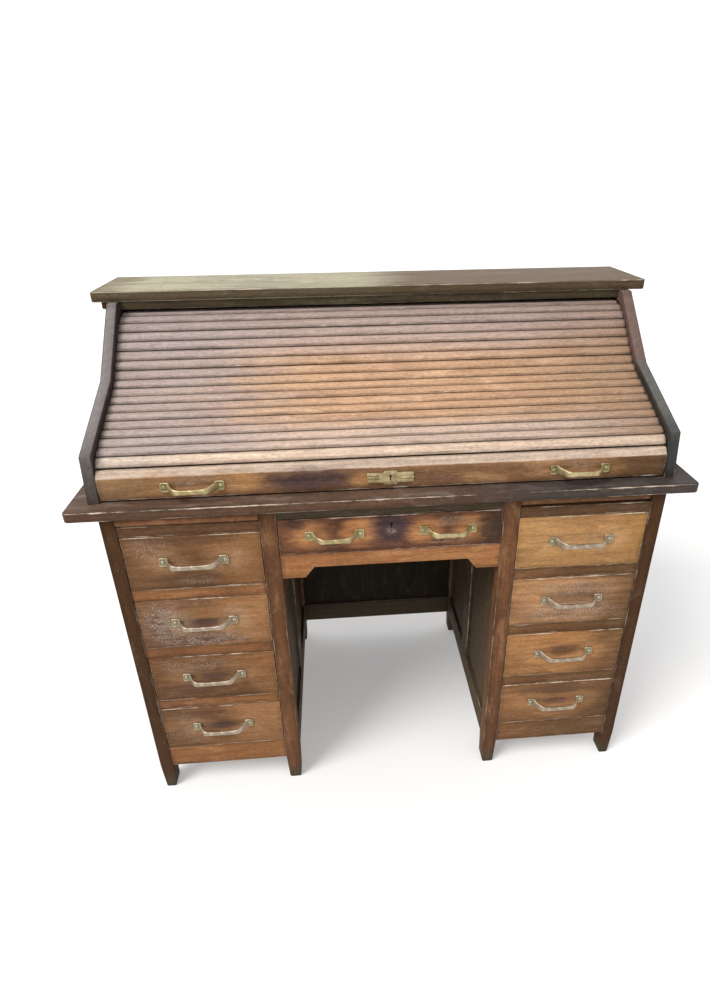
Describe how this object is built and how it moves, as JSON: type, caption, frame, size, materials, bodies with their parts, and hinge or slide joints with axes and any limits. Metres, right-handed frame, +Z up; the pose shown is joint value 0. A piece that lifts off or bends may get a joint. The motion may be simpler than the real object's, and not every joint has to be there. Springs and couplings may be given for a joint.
{
  "type": "roll top desk",
  "caption": "Pedestal desk in stained oak with a slatted roll-up curtain over pigeonholes, side drawers, a centre drawer over the kneehole and pull-out writing slides.",
  "frame": {"origin": "middle of the overall footprint, on the floor", "axes": "+Z up, +X to the right of a person facing the desk's front, front faces -Y"},
  "size_m": [1.213, 0.5914, 1.098],
  "materials": {
    "oak": "dark stained oak, worn shellac",
    "oak_dark": "very dark stained oak",
    "oak_raw": "unfinished oak, aged",
    "brass": "dull tarnished cast brass",
    "steel": "plain steel"
  },
  "bodies": {
    "carcase": {"desk_top": "oak", "legs": "oak_dark", "carcase_rails": "oak", "carcase_panels": "oak", "drawer_runners": "oak_raw", "kneehole_back": "oak", "kneehole_apron": "oak", "left_gable": "oak", "right_gable": "oak", "top_board": "oak", "header_rail": "oak", "gallery_back": "oak_dark", "curtain_guard": "oak_raw", "pigeonholes": "oak", "side_cleats": "oak_dark"},
    "curtain_rail": {"curtain_rail": "oak", "curtain_pulls": "brass", "curtain_escutcheon": "brass"},
    "curtain_bolt": {"curtain_bolt": "steel"},
    "slats_01": {"slats_01": "oak"},
    "slats_02": {"slats_02": "oak"},
    "slats_03": {"slats_03": "oak"},
    "slats_04": {"slats_04": "oak"},
    "slats_05": {"slats_05": "oak"},
    "slats_06": {"slats_06": "oak"},
    "slats_07": {"slats_07": "oak"},
    "slats_08": {"slats_08": "oak"},
    "slats_09": {"slats_09": "oak"},
    "slats_10": {"slats_10": "oak"},
    "left_drawer_1": {"left_drawer_1_front": "oak", "left_drawer_1_box": "oak_raw", "left_drawer_1_pull": "brass"},
    "left_drawer_2": {"left_drawer_2_front": "oak", "left_drawer_2_box": "oak_raw", "left_drawer_2_pull": "brass"},
    "left_drawer_3": {"left_drawer_3_front": "oak", "left_drawer_3_box": "oak_raw", "left_drawer_3_pull": "brass"},
    "left_drawer_4": {"left_drawer_4_front": "oak", "left_drawer_4_box": "oak_raw", "left_drawer_4_pull": "brass"},
    "right_drawer_1": {"right_drawer_1_front": "oak", "right_drawer_1_box": "oak_raw", "right_drawer_1_pull": "brass"},
    "right_drawer_2": {"right_drawer_2_front": "oak", "right_drawer_2_box": "oak_raw", "right_drawer_2_pull": "brass"},
    "right_drawer_3": {"right_drawer_3_front": "oak", "right_drawer_3_box": "oak_raw", "right_drawer_3_pull": "brass"},
    "right_drawer_4": {"right_drawer_4_front": "oak", "right_drawer_4_box": "oak_raw", "right_drawer_4_pull": "brass"},
    "centre_drawer": {"centre_drawer_front": "oak", "centre_drawer_box": "oak_raw", "centre_drawer_pulls": "brass"},
    "centre_drawer_bolt": {"centre_drawer_bolt": "steel"},
    "left_writing_slide": {"left_writing_slide": "oak"},
    "right_writing_slide": {"right_writing_slide": "oak"}
  },
  "joints": [
    {"name": "curtain_roll", "type": "hinge", "parent": "carcase", "child": "curtain_rail", "pos_m": [0, 0.09982, 0.61012], "axis": [-1, 0, 0], "range_deg": [0, 44.41]},
    {"name": "slats_01_roll", "type": "hinge", "parent": "carcase", "child": "slats_01", "pos_m": [0, 1.62534, -1.68511], "axis": [-1, 0, 0], "range_deg": [0, 5.49]},
    {"name": "slats_02_roll", "type": "hinge", "parent": "carcase", "child": "slats_02", "pos_m": [0, -0.93305, 2.21756], "axis": [1, 0, 0], "range_deg": [0, 11.15]},
    {"name": "slats_03_roll", "type": "hinge", "parent": "carcase", "child": "slats_03", "pos_m": [0, 0.41944, 0.28048], "axis": [-1, 0, 0], "range_deg": [0, 20.74]},
    {"name": "slats_04_roll", "type": "hinge", "parent": "carcase", "child": "slats_04", "pos_m": [0, 0.22361, 0.59408], "axis": [-1, 0, 0], "range_deg": [0, 37.22]},
    {"name": "slats_05_roll", "type": "hinge", "parent": "carcase", "child": "slats_05", "pos_m": [0, 0.19605, 0.64846], "axis": [-1, 0, 0], "range_deg": [0, 42.98]},
    {"name": "slats_06_roll", "type": "hinge", "parent": "carcase", "child": "slats_06", "pos_m": [0, 0.12499, 0.8381], "axis": [-1, 0, 0], "range_deg": [0, 86.68]},
    {"name": "slats_07_roll", "type": "hinge", "parent": "carcase", "child": "slats_07", "pos_m": [0, 0.11563, 0.90497], "axis": [-1, 0, 0], "range_deg": [0, 123.92]},
    {"name": "slats_08_roll", "type": "hinge", "parent": "carcase", "child": "slats_08", "pos_m": [0, 0.11815, 0.9196], "axis": [-1, 0, 0], "range_deg": [0, 135.61]},
    {"name": "slats_09_roll", "type": "hinge", "parent": "carcase", "child": "slats_09", "pos_m": [0, 0.11018, 0.90583], "axis": [-1, 0, 0], "range_deg": [0, 122.71]},
    {"name": "slats_10_roll", "type": "hinge", "parent": "carcase", "child": "slats_10", "pos_m": [0, 0.06887, 0.8691], "axis": [-1, 0, 0], "range_deg": [0, 90.27]},
    {"name": "curtain_bolt_slide", "type": "slide", "parent": "curtain_rail", "child": "curtain_bolt", "axis": [0, 0, -1], "range_m": [0, 0.009]},
    {"name": "left_drawer_1_slide", "type": "slide", "parent": "carcase", "child": "left_drawer_1", "axis": [0, -1, 0], "range_m": [0, 0.4]},
    {"name": "left_drawer_2_slide", "type": "slide", "parent": "carcase", "child": "left_drawer_2", "axis": [0, -1, 0], "range_m": [0, 0.4]},
    {"name": "left_drawer_3_slide", "type": "slide", "parent": "carcase", "child": "left_drawer_3", "axis": [0, -1, 0], "range_m": [0, 0.4]},
    {"name": "left_drawer_4_slide", "type": "slide", "parent": "carcase", "child": "left_drawer_4", "axis": [0, -1, 0], "range_m": [0, 0.4]},
    {"name": "right_drawer_1_slide", "type": "slide", "parent": "carcase", "child": "right_drawer_1", "axis": [0, -1, 0], "range_m": [0, 0.4]},
    {"name": "right_drawer_2_slide", "type": "slide", "parent": "carcase", "child": "right_drawer_2", "axis": [0, -1, 0], "range_m": [0, 0.4]},
    {"name": "right_drawer_3_slide", "type": "slide", "parent": "carcase", "child": "right_drawer_3", "axis": [0, -1, 0], "range_m": [0, 0.4]},
    {"name": "right_drawer_4_slide", "type": "slide", "parent": "carcase", "child": "right_drawer_4", "axis": [0, -1, 0], "range_m": [0, 0.4]},
    {"name": "centre_drawer_slide", "type": "slide", "parent": "carcase", "child": "centre_drawer", "axis": [0, -1, 0], "range_m": [0, 0.4]},
    {"name": "centre_drawer_bolt_slide", "type": "slide", "parent": "centre_drawer", "child": "centre_drawer_bolt", "axis": [0, 0, 1], "range_m": [0, 0.008]},
    {"name": "left_writing_slide_pull", "type": "slide", "parent": "carcase", "child": "left_writing_slide", "axis": [0, -1, 0], "range_m": [0, 0.33]},
    {"name": "right_writing_slide_pull", "type": "slide", "parent": "carcase", "child": "right_writing_slide", "axis": [0, -1, 0], "range_m": [0, 0.33]}
  ],
  "couplings": [
    {"joint": "slats_01_roll", "follows": "curtain_roll", "ratio": 0.12323},
    {"joint": "slats_02_roll", "follows": "curtain_roll", "ratio": 0.2507},
    {"joint": "slats_03_roll", "follows": "curtain_roll", "ratio": 0.46656},
    {"joint": "slats_04_roll", "follows": "curtain_roll", "ratio": 0.83779},
    {"joint": "slats_05_roll", "follows": "curtain_roll", "ratio": 0.96736},
    {"joint": "slats_06_roll", "follows": "curtain_roll", "ratio": 1.9515},
    {"joint": "slats_07_roll", "follows": "curtain_roll", "ratio": 2.7901},
    {"joint": "slats_08_roll", "follows": "curtain_roll", "ratio": 3.0534},
    {"joint": "slats_09_roll", "follows": "curtain_roll", "ratio": 2.7627},
    {"joint": "slats_10_roll", "follows": "curtain_roll", "ratio": 2.0324}
  ]
}
